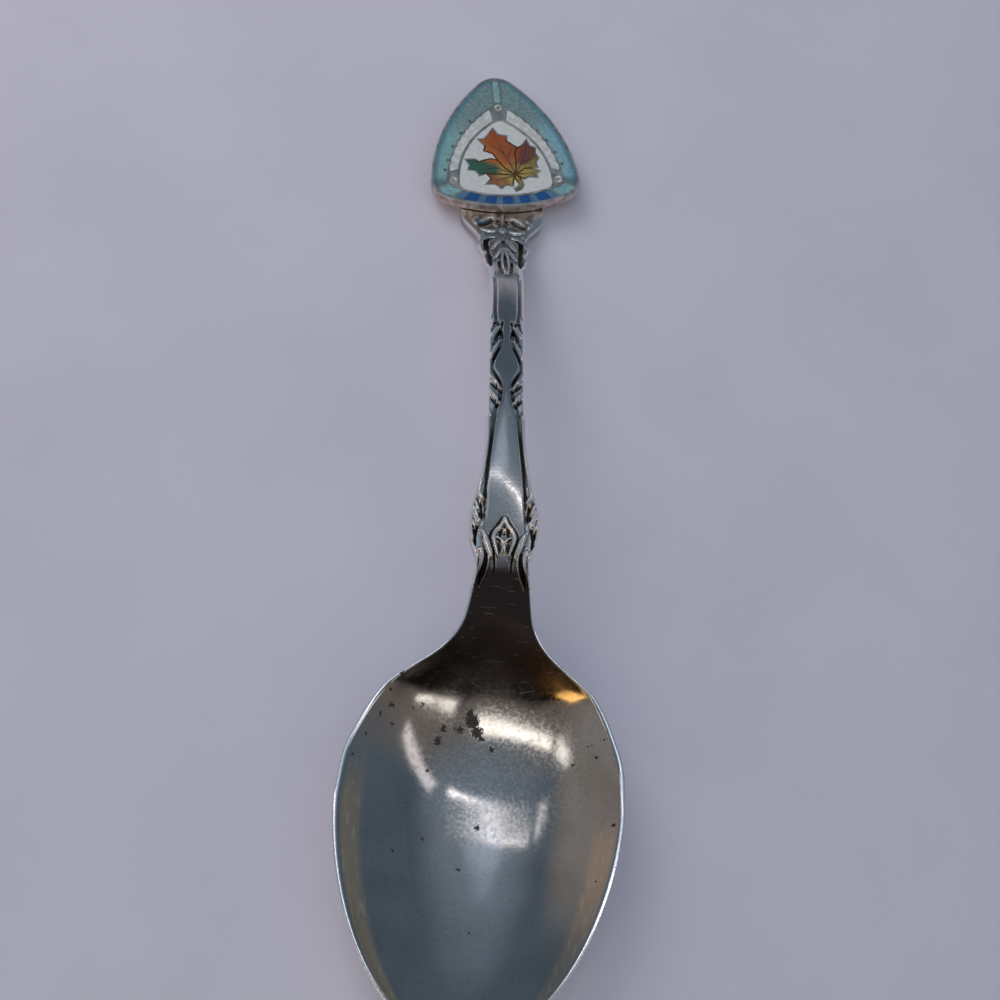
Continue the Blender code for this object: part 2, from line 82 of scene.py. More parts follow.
# (station, how far the middle lies to +x)
SWAY = (
    (0, -0.4), (10, -0.25), (20.4, 0.0), (28, 0.2), (34, 0.4), (39, 0.6), (44, 0.45), (47, 0.33), (50, 0.13),
    (54, -0.08), (59, -0.3), (66, -0.47), (74, -0.4), (80, -0.6), (86, -0.85), (92, -1.1), (99, -1.4),
)
# (station, depth of the bowl's hollow)
HOLLOW = (
    (0, 0), (1.5, 1.1), (4, 2.4), (8, 3.9), (13, 5.2), (18, 5.8), (22, 5.75), (26, 5.0), (30, 3.5),
    (33, 2.0), (35.5, 0.8), (38, 0), (99, 0),
)
# (station, thickness of the metal at the middle)
THICKNESS = (
    (0, 0.7), (8, 1.0), (30, 1.0), (40, 2.0), (45, 2.4), (60, 2.0), (72, 1.7), (80, 1.7), (84, 1.9),
    (86, 1.86), (88, 1.5), (99, 1.5),
)
# (station, height of the side wall)
WALL = ((0, 0.5), (32, 0.55), (42, 1.1), (60, 1.0), (82, 0.9), (88, 1.5), (99, 1.5))
# (station, half width of the smooth panel down the middle of the stem)
PANEL = (
    (38, 2.2), (42.7, 1.98), (44, 2.08), (45.4, 1.92), (47.1, 1.82), (48.9, 1.72), (52.5, 1.36),
    (55.1, 1.08), (56.6, 0.92), (57.4, 0.6), (58.9, 0.4), (60.1, 0.72), (61.5, 1.3), (62.7, 1.06),
    (64, 0.6), (65.2, 0.4), (66.6, 0.48), (68.2, 0.96), (70, 1.08), (76.4, 1.12), (77.9, 0.8),
    (79.7, 0.5), (99, 0.4),
)
# (station, how far the panel stands up) and (station, depth of the groove beside it)
PANEL_RISE = ((0, 0), (40.9, 0), (45.4, 0.22), (57.8, 0.26), (75.3, 0.24), (78.4, 0), (99, 0))
GROOVE_DEPTH = ((0, 0), (45.4, 0), (46.7, 0.32), (59.7, 0.3), (75.3, 0.24), (77.8, 0), (99, 0))
GROOVE_OFFSET = 0.15
GROOVE_HALF_WIDTH = 0.14
PANEL_DOME = 0.55  # part of the panel's rise that is lost at its edge
PANEL_STEP = 0.04  # mm over which the panel's edge falls
LAND_SHARE = 0.35  # most of the half width that the rim's land may take
STEM_FACE = 0.94  # part of the half width that the stem's upper face takes
RELIEF_FADE = 0.25  # mm from the edge within which the relief dies out
RELIEF_COVER = 0.12  # height of a ridge that hides a groove under it


def curve_through(table):
    """A function of an array of stations that never overshoots between two (station, value) rows."""
    x, y = np.array(table, float).T
    gaps = np.diff(x)
    slopes = np.diff(y) / gaps
    rising = slopes[:-1] * slopes[1:]
    total = np.abs(slopes[:-1] + slopes[1:])
    inner = np.where(rising > 0, 2 * rising * np.sign(slopes[1:]) / np.maximum(total, 1e-9), 0)
    tangents = np.concatenate([[slopes[0]], inner, [slopes[-1]]])

    def value(at):
        i = np.clip(np.searchsorted(x, at) - 1, 0, len(gaps) - 1)
        t = np.clip((at - x[i]) / gaps[i], 0, 1)
        bend = (tangents[i] * (1 - t) - tangents[i + 1] * t) * gaps[i] + (y[i] - y[i + 1]) * (1 - 2 * t)
        return y[i] * (1 - t) + y[i + 1] * t + t * (1 - t) * bend

    return value


def softened(table, reach):
    """The curve through the table, averaged over the reach so that reflections run smoothly along it."""
    curve = curve_through(table)
    offsets = np.linspace(-2, 2, 17)
    weights = np.exp(-(offsets**2))
    weights /= weights.sum()

    def value(at):
        at = np.asarray(at, float)
        room = np.clip((at - table[0][0]) / (2 * reach), 0, 1)
        return sum(weight * curve(at + offset * reach * room) for weight, offset in zip(weights, offsets))

    return value


outline_width = softened(OUTLINE, 0.25)
edge_height = softened(EDGE_HEIGHT, 1.5)
hollow_depth = softened(HOLLOW, 1.0)
metal_thickness = softened(THICKNESS, 1.0)
wall_height = softened(WALL, 1.0)
panel_width = softened(PANEL, 0.25)
panel_rise = softened(PANEL_RISE, 0.5)
groove_depth = softened(GROOVE_DEPTH, 0.4)
sway = softened(SWAY, 2.0)


def half_width(station):
    tip_share = np.clip((BOWL_WIDEST - station - TIP_FLAT) / BOWL_WIDEST, 0, 1)
    tip = BOWL_HALF_WIDTH * np.sqrt(1 - tip_share**TIP_POWER)
    end_share = np.clip((station - TONGUE_WIDEST) / (TONGUE_END - TONGUE_WIDEST + TIP_FLAT), 0, 1)
    tongue = TONGUE_HALF_WIDTH * np.sqrt(1 - end_share**2)
    middle = outline_width(np.clip(station, BOWL_WIDEST, TONGUE_WIDEST))
    return np.where(station < BOWL_WIDEST, tip, np.where(station > TONGUE_WIDEST, tongue, middle))


# Relief of the stem, right half: rows of ((x, station) points, half width, height or depth, taper).
# A taper of "both" narrows to both ends, "end" to the last point, "none" stays full.
RIDGES = (
    # ribs beside the lower panel, each ending in a curl
    (
        ((1.7, 55.9), (1.75, 53.7), (1.95, 51.7), (2.25, 49.9), (2.45, 48.8), (2.45, 48.2), (2.15, 47.8)),
        0.26, 0.34, "none",
    ),
    (((1.7, 56.3), (1.6, 55.9)), 0.26, 0.4, "none"),
    # shell scrolls, with slanting lobes
    (((2.95, 47.7), (3.15, 46.6), (3.2, 45.5), (3.1, 44.6), (2.9, 43.9)), 0.17, 0.4, "both"),
    (((2.9, 47.6), (2.45, 46.5)), 0.17, 0.42, "both"),
    (((3.05, 47.1), (2.55, 46)), 0.16, 0.42, "both"),
    (((3.15, 46.6), (2.6, 45.5)), 0.16, 0.4, "both"),
    (((3.2, 46), (2.75, 45)), 0.14, 0.36, "both"),
    (((2.45, 45.8), (2.6, 45.5)), 0.24, 0.3, "none"),
    # centre leaf of the acanthus: rim, inner veins and bead
    (
        ((0, 46), (0.3, 45.4), (0.75, 44.9), (1, 44.4), (0.9, 43.8), (0.65, 43.1), (0.5, 42.5)),
        0.24, 0.34, "end",
    ),
    (((0.7, 44.3), (0.3, 44.1), (0.05, 43.8), (0.15, 42.9)), 0.15, 0.22, "end"),
    (((0, 44.9), (0, 44.8)), 0.26, 0.34, "none"),
    # side leaves
    (((2.25, 45), (1.85, 44.4), (1.6, 43.7), (1.3, 43), (1.1, 42.4)), 0.3, 0.36, "both"),
    # outer lobes below them, and the long line inside each
    (((2.3, 43.1), (2, 42.8), (2.05, 42), (2.25, 41.3), (2.5, 40.6), (2.6, 39.9)), 0.2, 0.3, "end"),
    (((1.5, 43.2), (1.35, 42.2), (1.6, 41), (1.95, 40.2), (2.2, 39.6)), 0.13, 0.24, "both"),
    (((2.2, 43.2), (2.3, 43.1)), 0.24, 0.3, "none"),
    # comma leaves between the bulb and the lower panel, each with a bead at its inner tip
    (((1.65, 60.5), (1.35, 60.1), (0.95, 59.6)), 0.2, 0.26, "both"),
    (((0.8, 59.4), (0.7, 59.1)), 0.22, 0.4, "none"),
    (((1.65, 58.8), (1.35, 58.3), (1, 57.9)), 0.18, 0.26, "both"),
    (((0.9, 57.8), (0.8, 57.4)), 0.22, 0.4, "none"),
    # slashes between the bulb and the upper panel
    (((0.7, 67.3), (1.05, 66.5), (1.5, 65.5)), 0.25, 0.34, "both"),
    (((0.5, 65.3), (0.9, 64.2), (1.55, 62.6)), 0.25, 0.34, "both"),
    (((1.35, 68.4), (1.55, 66.8)), 0.14, 0.2, "both"),
    # thin rims beside the upper panel
    (((1.6, 75.8), (1.55, 72.3), (1.55, 69.1)), 0.16, 0.2, "none"),
    # head: flower, side petals, upper petal, pendant leaves in two tiers and the tail
    (((0, 86.7), (0, 86.6)), 0.62, 0.34, "none"),
    (((0.65, 86.4), (1.5, 86.2), (2.5, 86.5)), 0.34, 0.34, "both"),
    (((0, 87.2), (0, 88.8)), 0.3, 0.28, "none"),
    (((0.45, 87), (1, 87.7)), 0.24, 0.22, "both"),
    (((0.3, 84.5), (0.85, 83.6), (1.3, 82.3)), 0.36, 0.38, "both"),
    (((0.3, 82.6), (0.8, 81.2), (1.3, 79.9)), 0.32, 0.34, "both"),
    (((0.1, 82.7), (0.35, 80.4), (0.3, 78.4), (0, 76.9)), 0.22, 0.3, "end"),
    (((0.1, 77.6), (0, 77)), 0.3, 0.34, "none"),
    (((2.3, 83.9), (2.75, 82.8), (2.5, 81.8)), 0.26, 0.3, "both"),
    (((2.05, 81.7), (2.35, 80.4), (2.1, 79.3)), 0.24, 0.28, "both"),
    (((2.1, 85.7), (2.6, 85), (2.5, 84.3)), 0.2, 0.24, "both"),
    (((2.7, 88.6), (3.2, 88.1), (2.95, 87.3)), 0.3, 0.26, "both"),
)
GROOVES = (
    # deep pocket inside each shell scroll, and the line beside each leaf of the acanthus
    (((2.3, 47.4), (2.3, 46.2), (2.65, 45.1), (2.8, 44.3), (2.65, 43.5)), 0.26, 0.5, "both"),
    (((2.7, 47.7), (2.25, 46.6)), 0.1, 0.3, "both"),
    (((2.95, 47.4), (2.5, 46.2)), 0.09, 0.3, "both"),
    (((3.05, 46.9), (2.55, 45.8)), 0.09, 0.3, "both"),
    (((3.2, 46.3), (2.7, 45.2)), 0.09, 0.3, "both"),
    (
        (
            (0.15, 46.2), (0.6, 45.5), (1.1, 44.9), (1.3, 44.4),
            (1.15, 43.8), (0.95, 43), (0.8, 42.1), (0.8, 41.2),
        ),
        0.16, 0.34, "end",
    ),
    (((0, 45.4), (0.3, 44.9), (0.4, 44.4)), 0.16, 0.22, "both"),
    (((0.45, 43.9), (0.4, 43)), 0.16, 0.2, "both"),
    (((2, 43.8), (1.7, 43.2), (1.65, 42.3), (1.85, 41.2), (2.2, 40.2)), 0.2, 0.34, "both"),
    (((2.6, 43), (2.3, 42.3), (2.4, 41.6)), 0.12, 0.26, "both"),
    # round the comma leaves and the slashes
    (((1.65, 59.7), (1.15, 59.1), (0.6, 58.6)), 0.2, 0.34, "both"),
    (((1.65, 58), (1.2, 57.4), (0.85, 57)), 0.2, 0.34, "both"),
    (((0.4, 68), (0.75, 66.3), (1.25, 65)), 0.2, 0.32, "both"),
    (((1, 68.2), (1.4, 67.2), (1.65, 66)), 0.16, 0.34, "both"),
    (((0.9, 65.5), (1.45, 64.2)), 0.14, 0.26, "both"),
    # recesses of the head
    (((1, 88.5), (1.75, 87.9), (2.6, 87.3)), 0.5, 0.55, "both"),
    (((0.35, 88.5), (0.6, 88.1)), 0.2, 0.4, "both"),
    (((0.9, 85), (1.5, 84.7), (1.95, 84.1), (1.9, 82.4), (1.7, 80.2), (1.6, 78.6)), 0.36, 0.6, "both"),
    (((0, 84.9), (0, 83)), 0.2, 0.3, "both"),
    (((0, 81.7), (0, 78.6)), 0.16, 0.3, "both"),
    (((2.9, 84), (2.35, 82.2)), 0.12, 0.3, "both"),
    (((2.5, 81.4), (2.05, 80.2)), 0.1, 0.3, "both"),
    (((0.75, 79.9), (0.6, 78.1), (0.4, 77)), 0.2, 0.3, "both"),
)
SPLINE_STEPS = 6


def smooth_line(points):
    """The points joined by a Catmull-Rom curve."""
    points = np.array(points, float)
    if len(points) < 3:
        return points
    padded = np.vstack([2 * points[0] - points[1], points, 2 * points[-1] - points[-2]])
    line = []
    for a, b, c, d in zip(padded, padded[1:], padded[2:], padded[3:]):
        for t in np.arange(SPLINE_STEPS) / SPLINE_STEPS:
            line.append(b + 0.5 * t * (c - a + t * (2 * a - 5 * b + 4 * c - d + t * (3 * (b - c) + d - a))))
    return np.array([*line, points[-1]])


def nearest(x, y, line):
    """Distance of every (x, y) from the line, and how far along it the nearest place is, from 0 to 1."""
    best = np.full(x.shape, np.inf)
    place = np.zeros(x.shape)
    steps = np.linalg.norm(np.diff(line, axis=0), axis=1)
    reached = np.concatenate([[0], np.cumsum(steps)]) / steps.sum()
    for i, (start, end) in enumerate(zip(line, line[1:])):
        along = end - start
        t = np.clip(((x - start[0]) * along[0] + (y - start[1]) * along[1]) / (along @ along), 0, 1)
        away = np.hypot(x - start[0] - t * along[0], y - start[1] - t * along[1])
        closer = away < best
        best[closer] = away[closer]
        place[closer] = (reached[i] + t * (reached[i + 1] - reached[i]))[closer]
    return best, place


def stroke_share(x, y, points, width, taper):
    """0 outside the stroke, and 1 along its middle."""
    away, along = nearest(x, y, smooth_line(points))
    if taper == "both":
        width = width * np.sqrt(np.clip(1 - (2 * along - 1) ** 4, 0.02, 1))
    if taper == "end":
        width = width * np.sqrt(np.clip(1 - along**3, 0.04, 1))
    return np.clip(1 - (away / width) ** 2, 0, 1)


def relief(x, station):
    """Height of the ornament over the plain stem, for arrays of |x| and station."""
    raised = np.zeros(x.shape)
    sunk = np.zeros(x.shape)
    for points, width, height, taper in RIDGES:
        raised = np.maximum(raised, height * np.sqrt(stroke_share(x, station, points, width, taper)))
    for points, width, depth, taper in GROOVES:
        share = stroke_share(x, station, points, width, taper)
        sunk = np.maximum(sunk, depth * share**1.5)
    free = 1 - np.clip(raised / RELIEF_COVER, 0, 1)
    return raised - sunk * free


def upper_surface(x, station, width):
    """Height of the upper face at arrays of |x| and station, and the part of it that is relief."""
    land = np.minimum(RIM_LAND, LAND_SHARE * width)
    inner = np.where(station < NECK, width - land, width * STEM_FACE)
    share = np.clip(x / inner, 0, 1)
    base = edge_height(station) - hollow_depth(station) * (1 - share**HOLLOW_POWER)
    panel = panel_width(station)
    on_panel = np.clip(1 - PANEL_DOME * (x / panel) ** 2, 0, 1) / (1 + np.exp((x - panel) / PANEL_STEP))
    groove = np.exp(-(((x - panel - GROOVE_OFFSET) / GROOVE_HALF_WIDTH) ** 2))
    height = panel_rise(station) * on_panel - groove_depth(station) * groove + relief(x, station)
    room = np.clip((width - x) / RELIEF_FADE, 0, 1)
    return base, height * room * (2 - room)


EDGE_ROUNDING = 0.13
ACROSS = 46  # columns from the middle to the edge of the upper face
EDGE_TURNS = 4
BACK_SHARES = np.sin(np.linspace(math.pi / 2, 0, 15))
ROUNDING_SHARE = 0.3  # most of the half width that the edge's rounding may take
RECESS_DEPTH = 0.2  # mm below its surroundings at which a place counts as fully recessed
WEAR_HEIGHT = 0.1  # mm above them at which it counts as fully worn
CAVITY_REACH = 5  # columns and rows over which a hollow or a height is told from its surroundings


def blurred(grid, reach):
    """The grid averaged over a square window, with its edges repeated."""
    for axis in (0, 1):
        grid = np.moveaxis(grid, axis, 0)
        padded = np.concatenate([grid[:1].repeat(reach, 0), grid, grid[-1:].repeat(reach, 0)])
        grid = np.mean([padded[i : i + len(grid)] for i in range(2 * reach + 1)], axis=0)
        grid = np.moveaxis(grid, 0, axis)
    return grid


TIP_ROWS = 56
BOWL_ROWS = 56
STEM_ROWS = 500
TONGUE_ROWS = 26


def spoon_stations():
    """Stations of the cross-sections, closest together at the tip and at the tongue's end."""
    tip = BOWL_WIDEST * (1 - np.cos(np.linspace(0, math.pi / 2, TIP_ROWS)))
    bowl = np.linspace(BOWL_WIDEST, NECK, BOWL_ROWS)[1:]
    stem = np.linspace(NECK, ORNAMENT_END, STEM_ROWS)[1:]
    turns = np.linspace(0, math.pi / 2, TONGUE_ROWS)[1:]
    return np.concatenate([tip, bowl, stem, ORNAMENT_END + (TONGUE_END - ORNAMENT_END) * np.sin(turns)])


def new_object(name, data):
    """An object with this data, in the scene."""
    made = bpy.data.objects.new(name, data)
    bpy.context.scene.collection.objects.link(made)
    return made


def mesh_object(name, vertices, faces, attributes=None):
    """An object from vertices in millimetres, with a value of each attribute for every vertex."""
    mesh = bpy.data.meshes.new(name)
    mesh.from_pydata([tuple(vertex) for vertex in np.asarray(vertices) * MM], [], faces)
    for key, values in (attributes or {}).items():
        mesh.attributes.new(key, "FLOAT", "POINT").data.foreach_set("value", np.asarray(values, np.float32))
    return new_object(name, mesh)


def spoon_body():
    """The bowl and stem in one piece, as fine cross-sections with the struck ornament."""
    stations = spoon_stations()
    width = half_width(stations)
    edge = edge_height(stations)
    wall = wall_height(stations)
    rounding = np.minimum(EDGE_ROUNDING, ROUNDING_SHARE * width)
    shares = np.linspace(0, 1, ACROSS + 1)
    x = shares[None, :] * (width - rounding)[:, None]
    grid_station = np.repeat(stations[:, None], ACROSS + 1, axis=1)
    base, height = upper_surface(x, grid_station, width[:, None])
    near = blurred(height, CAVITY_REACH)
    recess = np.clip((near - height) / RECESS_DEPTH, 0, 1)
    wear = np.clip((height - near) / WEAR_HEIGHT, 0, 1)
    upper_z = base + height

    belly = hollow_depth(stations) + metal_thickness(stations) - wall
    lower = []
    for turn in np.linspace(0, math.pi / 2, EDGE_TURNS + 1)[1:]:
        lower.append((width - rounding * (1 - math.sin(turn)), edge - rounding * (1 - math.cos(turn))))
    for share in BACK_SHARES:
        lower.append((width * share, np.maximum(edge - wall - belly * (1 - share**HOLLOW_POWER), 0)))
    lower_x, lower_z = (np.array(part).T for part in zip(*lower))

    half_x = np.hstack([x, lower_x])
    half_z = np.hstack([upper_z, lower_z])
    plain = np.zeros(lower_x.shape)
    values = {
        "recess": np.hstack([recess, plain]),
        "wear": np.hstack([wear, plain]),
        "across": np.hstack([np.repeat(shares[None, :], len(stations), axis=0), 1 + plain]),
        "upper": np.hstack([np.ones(x.shape), plain]),
    }

    def whole(part):
        """The ring of a right half, with its left half mirrored."""
        return np.hstack([part, part[:, -2:0:-1]])

    ring_x = np.hstack([half_x, -half_x[:, -2:0:-1]])
    ring_x = ring_x + sway(stations)[:, None]
    count = ring_x.shape[1]
    ring_y = np.repeat((stations + TIP)[:, None], count, axis=1)
    vertices = np.stack([ring_x, ring_y, whole(half_z)], axis=-1).reshape(-1, 3)
    faces = []
    for row in range(len(stations) - 1):
        for i in range(count):
            after = (i + 1) % count
            a, b = row * count + i, row * count + after
            faces.append((a, b, b + count, a + count))
    last = (len(stations) - 1) * count
    faces.append(tuple(range(count - 1, -1, -1)))
    faces.append(tuple(range(last, last + count)))
    attributes = {key: whole(part).ravel() for key, part in values.items()}
    made = mesh_object("spoon_body_struck", vertices, faces, attributes)
    made.data.shade_smooth()
    return made


# Camera: where it looks, from how far, and how it leans
CAMERA_TARGET = Vector((0.71, -0.11, 0.0)) * MM
CAMERA_DISTANCE = 146.45 * MM
CAMERA_BACK = 0.4297  # share of the distance towards the bowl's tip
CAMERA_LEFT = 0.0642  # and towards -x
CAMERA_ROLL = math.radians(3.2)
CAMERA_LENS = 50.4  # mm
CAMERA_SENSOR = 36.0  # mm, its width


def add_camera():
    up = math.sqrt(1 - CAMERA_BACK**2 - CAMERA_LEFT**2)
    away = Vector((-CAMERA_LEFT, -CAMERA_BACK, up))
    side = Vector((0, 1, 0)).cross(away).normalized()
    turn = Matrix((side, away.cross(side), away)).transposed()
    data = bpy.data.cameras.new("camera")
    data.lens = CAMERA_LENS
    data.sensor_width = CAMERA_SENSOR
    data.clip_start = MM
    camera = new_object("camera", data)
    rolled = Quaternion(away, CAMERA_ROLL).to_matrix() @ turn
    camera.matrix_world = Matrix.LocRotScale(CAMERA_TARGET + away * CAMERA_DISTANCE, rolled, None)
    bpy.context.scene.camera = camera


# Finial: its own plane has x across and v along it, from the centre of its three rosettes
FINIAL_CENTRE = Vector((-1.35, TIP + 96.62, 0.0))
FINIAL_TURN = math.radians(8)
PLAQUE_TOP = PLAQUE_HIGH.z
PLAQUE_CORNERS = ((6.2, -3.5, 2.4), (0.0, 8.8, 2.7), (-6.2, -3.5, 2.4))
PLAQUE_SIDES = (22.0, 22.0, 18.0)
GROUND_CORNERS = ((4.4, -3.85, 0.95), (0.0, 4.1, 0.9), (-4.4, -3.85, 0.95))
GROUND_SIDES = (10.5, 10.5, 14.0)
ROSETTE_CIRCLE = 7.0
ROSETTE_ANGLES = (-30, 90, 210)
ROSETTE_RADIUS = 0.55
ROSETTE_STEPS = 24
ARC_STEPS = 14
WIRE = 0.14
LEAF_BASE = (1.2, -2.8)


def arc(centre, radius, start, end):
    turns = np.linspace(start, end, ARC_STEPS)
    return [(centre[0] + radius * math.cos(turn), centre[1] + radius * math.sin(turn)) for turn in turns]


def side_centre(first, second, radius):
    """Centre of the arc that touches both corner circles from outside, bulging away from the middle."""
    (ax, av, ar), (bx, bv, br) = first, second
    reach_a, reach_b = radius - ar, radius - br
    apart = math.hypot(bx - ax, bv - av)
    along = (apart**2 + reach_a**2 - reach_b**2) / (2 * apart)
    aside = math.sqrt(reach_a**2 - along**2)
    ux, uv = (bx - ax) / apart, (bv - av) / apart
    return ax + ux * along - uv * aside, av + uv * along + ux * aside


def bulged_triangle(corners, sides, inset=0.0):
    """Outline of three corner arcs and three bulging side arcs, moved inwards by the inset."""
    corners = [(x, v, radius - inset) for x, v, radius in corners]
    sides = [radius - inset for radius in sides]
    centres = [side_centre(corners[i], corners[(i + 1) % 3], sides[i]) for i in range(3)]
    points = []
    for i, (x, v, radius) in enumerate(corners):
        before, after = centres[i - 1], centres[i]
        start = math.atan2(v - before[1], x - before[0])
        end = math.atan2(v - after[1], x - after[0])
        end += 2 * math.pi * (end < start)
        points += arc((x, v), radius, start, end)
        far_x, far_v, _ = corners[(i + 1) % 3]
        finish = math.atan2(far_v - after[1], far_x - after[0])
        finish += 2 * math.pi * (finish < end - math.pi)
        points += arc(after, sides[i], end, finish)[1:-1]
    return points


def on_finial(points, height):
    """The finial's (x, v) points in the frame, at a height over the plaque's top."""
    turn = Matrix.Rotation(FINIAL_TURN, 3, "Z")
    lift = Vector((0, 0, PLAQUE_TOP + height))
    return [FINIAL_CENTRE + lift + turn @ Vector((x, v, 0)) for x, v in points]


TAPER = 0.7  # share of its radius that a tapered wire loses towards its end
BEAD_SEGMENTS = 20


def wire(name, lines, radius, closed=False, taper=False):
    """One object of round wires, each along (x, v) points of the finial, half sunk into its top."""
    curve = bpy.data.curves.new(name, "CURVE")
    curve.dimensions = "3D"
    curve.bevel_depth = radius * MM
    curve.bevel_resolution = 2
    curve.use_fill_caps = True
    for line in lines:
        spline = curve.splines.new("POLY")
        places = on_finial(line, 0)
        spline.points.add(len(places) - 1)
        for i, (point, place) in enumerate(zip(spline.points, places)):
            point.co = (*(place * MM), 1)
            point.radius = 1 - TAPER * i / (len(places) - 1) if taper else 1
        spline.use_cyclic_u = closed
    return new_object(name, curve)


def beads(name, points, radius, height):
    """One object of flattened balls at (x, v) points of the finial."""
    form = bmesh.new()
    for place in on_finial(points, 0):
        shape = Matrix.Translation(place) @ Matrix.Diagonal((radius, radius, height, 1))
        placing = Matrix.Scale(MM, 4) @ shape
        bmesh.ops.create_uvsphere(
            form, u_segments=BEAD_SEGMENTS, v_segments=BEAD_SEGMENTS // 2, radius=1, matrix=placing
        )
    mesh = bpy.data.meshes.new(name)
    form.to_mesh(mesh)
    form.free()
    mesh.shade_smooth()
    return new_object(name, mesh)


COAT_ROUGHNESS = 0.06


class Nodes:
    """A node tree, with short ways to add nodes to it."""

    def __init__(self, tree):
        self.tree = tree

    def add(self, kind, inputs=(), **settings):
        node = self.tree.nodes.new(kind)
        for key, value in settings.items():
            setattr(node, key, value)
        for key, value in dict(inputs).items():
            if isinstance(value, bpy.types.NodeSocket):
                self.tree.links.new(value, node.inputs[key])
            else:
                node.inputs[key].default_value = value
        return node

    def vector(self, operation, first, second=None, **inputs):
        values = {0: first, **inputs}
        if second is not None:
            values[1] = second
        return self.add("ShaderNodeVectorMath", values, operation=operation).outputs[0]

    def math(self, operation, first, second=0.0):
        return self.add("ShaderNodeMath", {0: first, 1: second}, operation=operation).outputs[0]

    def times(self, first, second):
        return self.math("MULTIPLY", first, second)

    def most(self, *values):
        total = values[0]
        for value in values[1:]:
            total = self.math("MAXIMUM", total, value)
        return total

    def rise(self, value, low, high):
        """0 below low and 1 above high, or the other way round when low is the greater."""
        inputs = {"Value": value, "From Min": low, "From Max": high}
        return self.add("ShaderNodeMapRange", inputs, interpolation_type="SMOOTHSTEP").outputs[0]

    def mix(self, share, first, second):
        inputs = {0: share}
        for slot, colour in ((6, first), (7, second)):
            inputs[slot] = colour if isinstance(colour, bpy.types.NodeSocket) else (*colour, 1)
        return self.add("ShaderNodeMix", inputs, data_type="RGBA").outputs[2]

    def length(self, first, second):
        """Length of a line with these two parts."""
        squares = self.math("ADD", self.times(first, first), self.times(second, second))
        return self.math("SQRT", squares)


class Look(Nodes):
    """A material, whose lengths are in millimetres."""

    def __init__(self, name, metallic=0.0, roughness=0.3, coat=0.0):
        self.material = bpy.data.materials.new(name)
        self.material.use_nodes = True
        super().__init__(self.material.node_tree)
        self.shader = self.tree.nodes["Principled BSDF"]
        self.shader.inputs["Metallic"].default_value = metallic
        self.shader.inputs["Roughness"].default_value = roughness
        self.shader.inputs["Coat Weight"].default_value = coat
        self.shader.inputs["Coat Roughness"].default_value = COAT_ROUGHNESS
        self.here = self.vector("SCALE", self.add("ShaderNodeTexCoord").outputs["Object"], Scale=1 / MM)
        self.flat = self.vector("MULTIPLY", self.here, (1, 1, 0))

    def noise(self, scale, detail=2.0, stretch=(1, 1, 1), turn=0.0):
        """Noise with about `scale` features a millimetre, stretched and turned in the plane."""
        mapping = {"Vector": self.here, "Rotation": (0, 0, math.radians(turn)), "Scale": stretch}
        place = self.add("ShaderNodeMapping", mapping).outputs[0]
        return self.add("ShaderNodeTexNoise", {"Vector": place, "Scale": scale, "Detail": detail}).outputs[0]

    def cells(self, scale):
        return self.add("ShaderNodeTexVoronoi", {"Vector": self.here, "Scale": scale}).outputs[0]

    def attribute(self, name):
        return self.add("ShaderNodeAttribute", attribute_name=name).outputs["Fac"]

    def part(self, value, axis):
        return self.add("ShaderNodeSeparateXYZ", {0: value}).outputs[axis]

    def away(self, x, y):
        """Distance from a place, seen from above."""
        inputs = {0: self.flat, 1: (x, y, 0)}
        return self.add("ShaderNodeVectorMath", inputs, operation="DISTANCE").outputs["Value"]

    def colour(self, value):
        self.tree.links.new(value, self.shader.inputs["Base Color"])

    def roughness(self, value):
        self.tree.links.new(value, self.shader.inputs["Roughness"])

    def bump(self, height, strength, distance):
        """Height from 0 to 1, over a distance in millimetres."""
        inputs = {"Height": height, "Strength": strength, "Distance": distance * MM}
        self.tree.links.new(self.add("ShaderNodeBump", inputs).outputs[0], self.shader.inputs["Normal"])


# Silver and its tarnish, with painted shade in the neck
POLISHED = (0.5, 0.495, 0.48)
FILM = (0.41, 0.395, 0.365)
BRIGHT = (0.88, 0.87, 0.85)
GOLDEN = (0.95, 0.64, 0.4)
GOLD_STREAK = (1.0, 0.86, 0.6)
BROWN = (0.075, 0.048, 0.032)
BLACK = (0.035, 0.032, 0.03)
# Near-black of the neck: partly tarnish film, partly painted shade standing in for the dark reflection there
NECK_TARNISH_AND_PAINTED_SHADE = (0.03, 0.022, 0.02)
# Corrosion spots of the bowl: (x, station, radius)
SPOTS = (
    (-1.0, 28.8, 0.74), (-0.5, 27.9, 0.6), (-1.3, 29.4, 0.5), (0.0, 27.4, 0.3), (-3.7, 27.9, 0.36),
    (-4.1, 26.8, 0.45), (-2.1, 28.0, 0.36), (-2.6, 28.1, 0.25), (1.1, 26.5, 0.3), (-8.0, 31.6, 0.2),
    (-8.7, 29.0, 0.24), (-5.8, 29.6, 0.14), (-6.6, 29.2, 0.1), (-4.9, 24.1, 0.14), (0.2, 19.4, 0.28),
    (-1.3, 15.5, 0.15), (0.0, 9.9, 0.16), (12.2, 19.4, 0.2), (-10.8, 26.0, 0.13), (-11.9, 24.0, 0.12),
    (-6.4, 21.0, 0.11), (-4.8, 17.9, 0.13), (-7.5, 16.5, 0.1), (-8.9, 30.2, 0.11), (-8.5, 27.4, 0.11),
    (-9.6, 28.1, 0.14), (8.6, 25.2, 0.14), (9.9, 26.6, 0.14), (10.5, 25.6, 0.12), (11.1, 27.0, 0.12),
)
SPOT_WANDER = 1.1  # mm that a spot's edge wanders
# Curved scratches of the bowl: parts of circles, (x, station, radius)
SCRATCHES = (
    (-0.5, 12.3, 3.0), (1.0, 10.4, 1.6), (3.5, 14.0, 7.7), (2.5, 45.0, 13.6), (3.0, 18.0, 9.6),
    (-2.0, 8.0, 4.0),
)
SCRATCH_HALF_WIDTH = 0.028


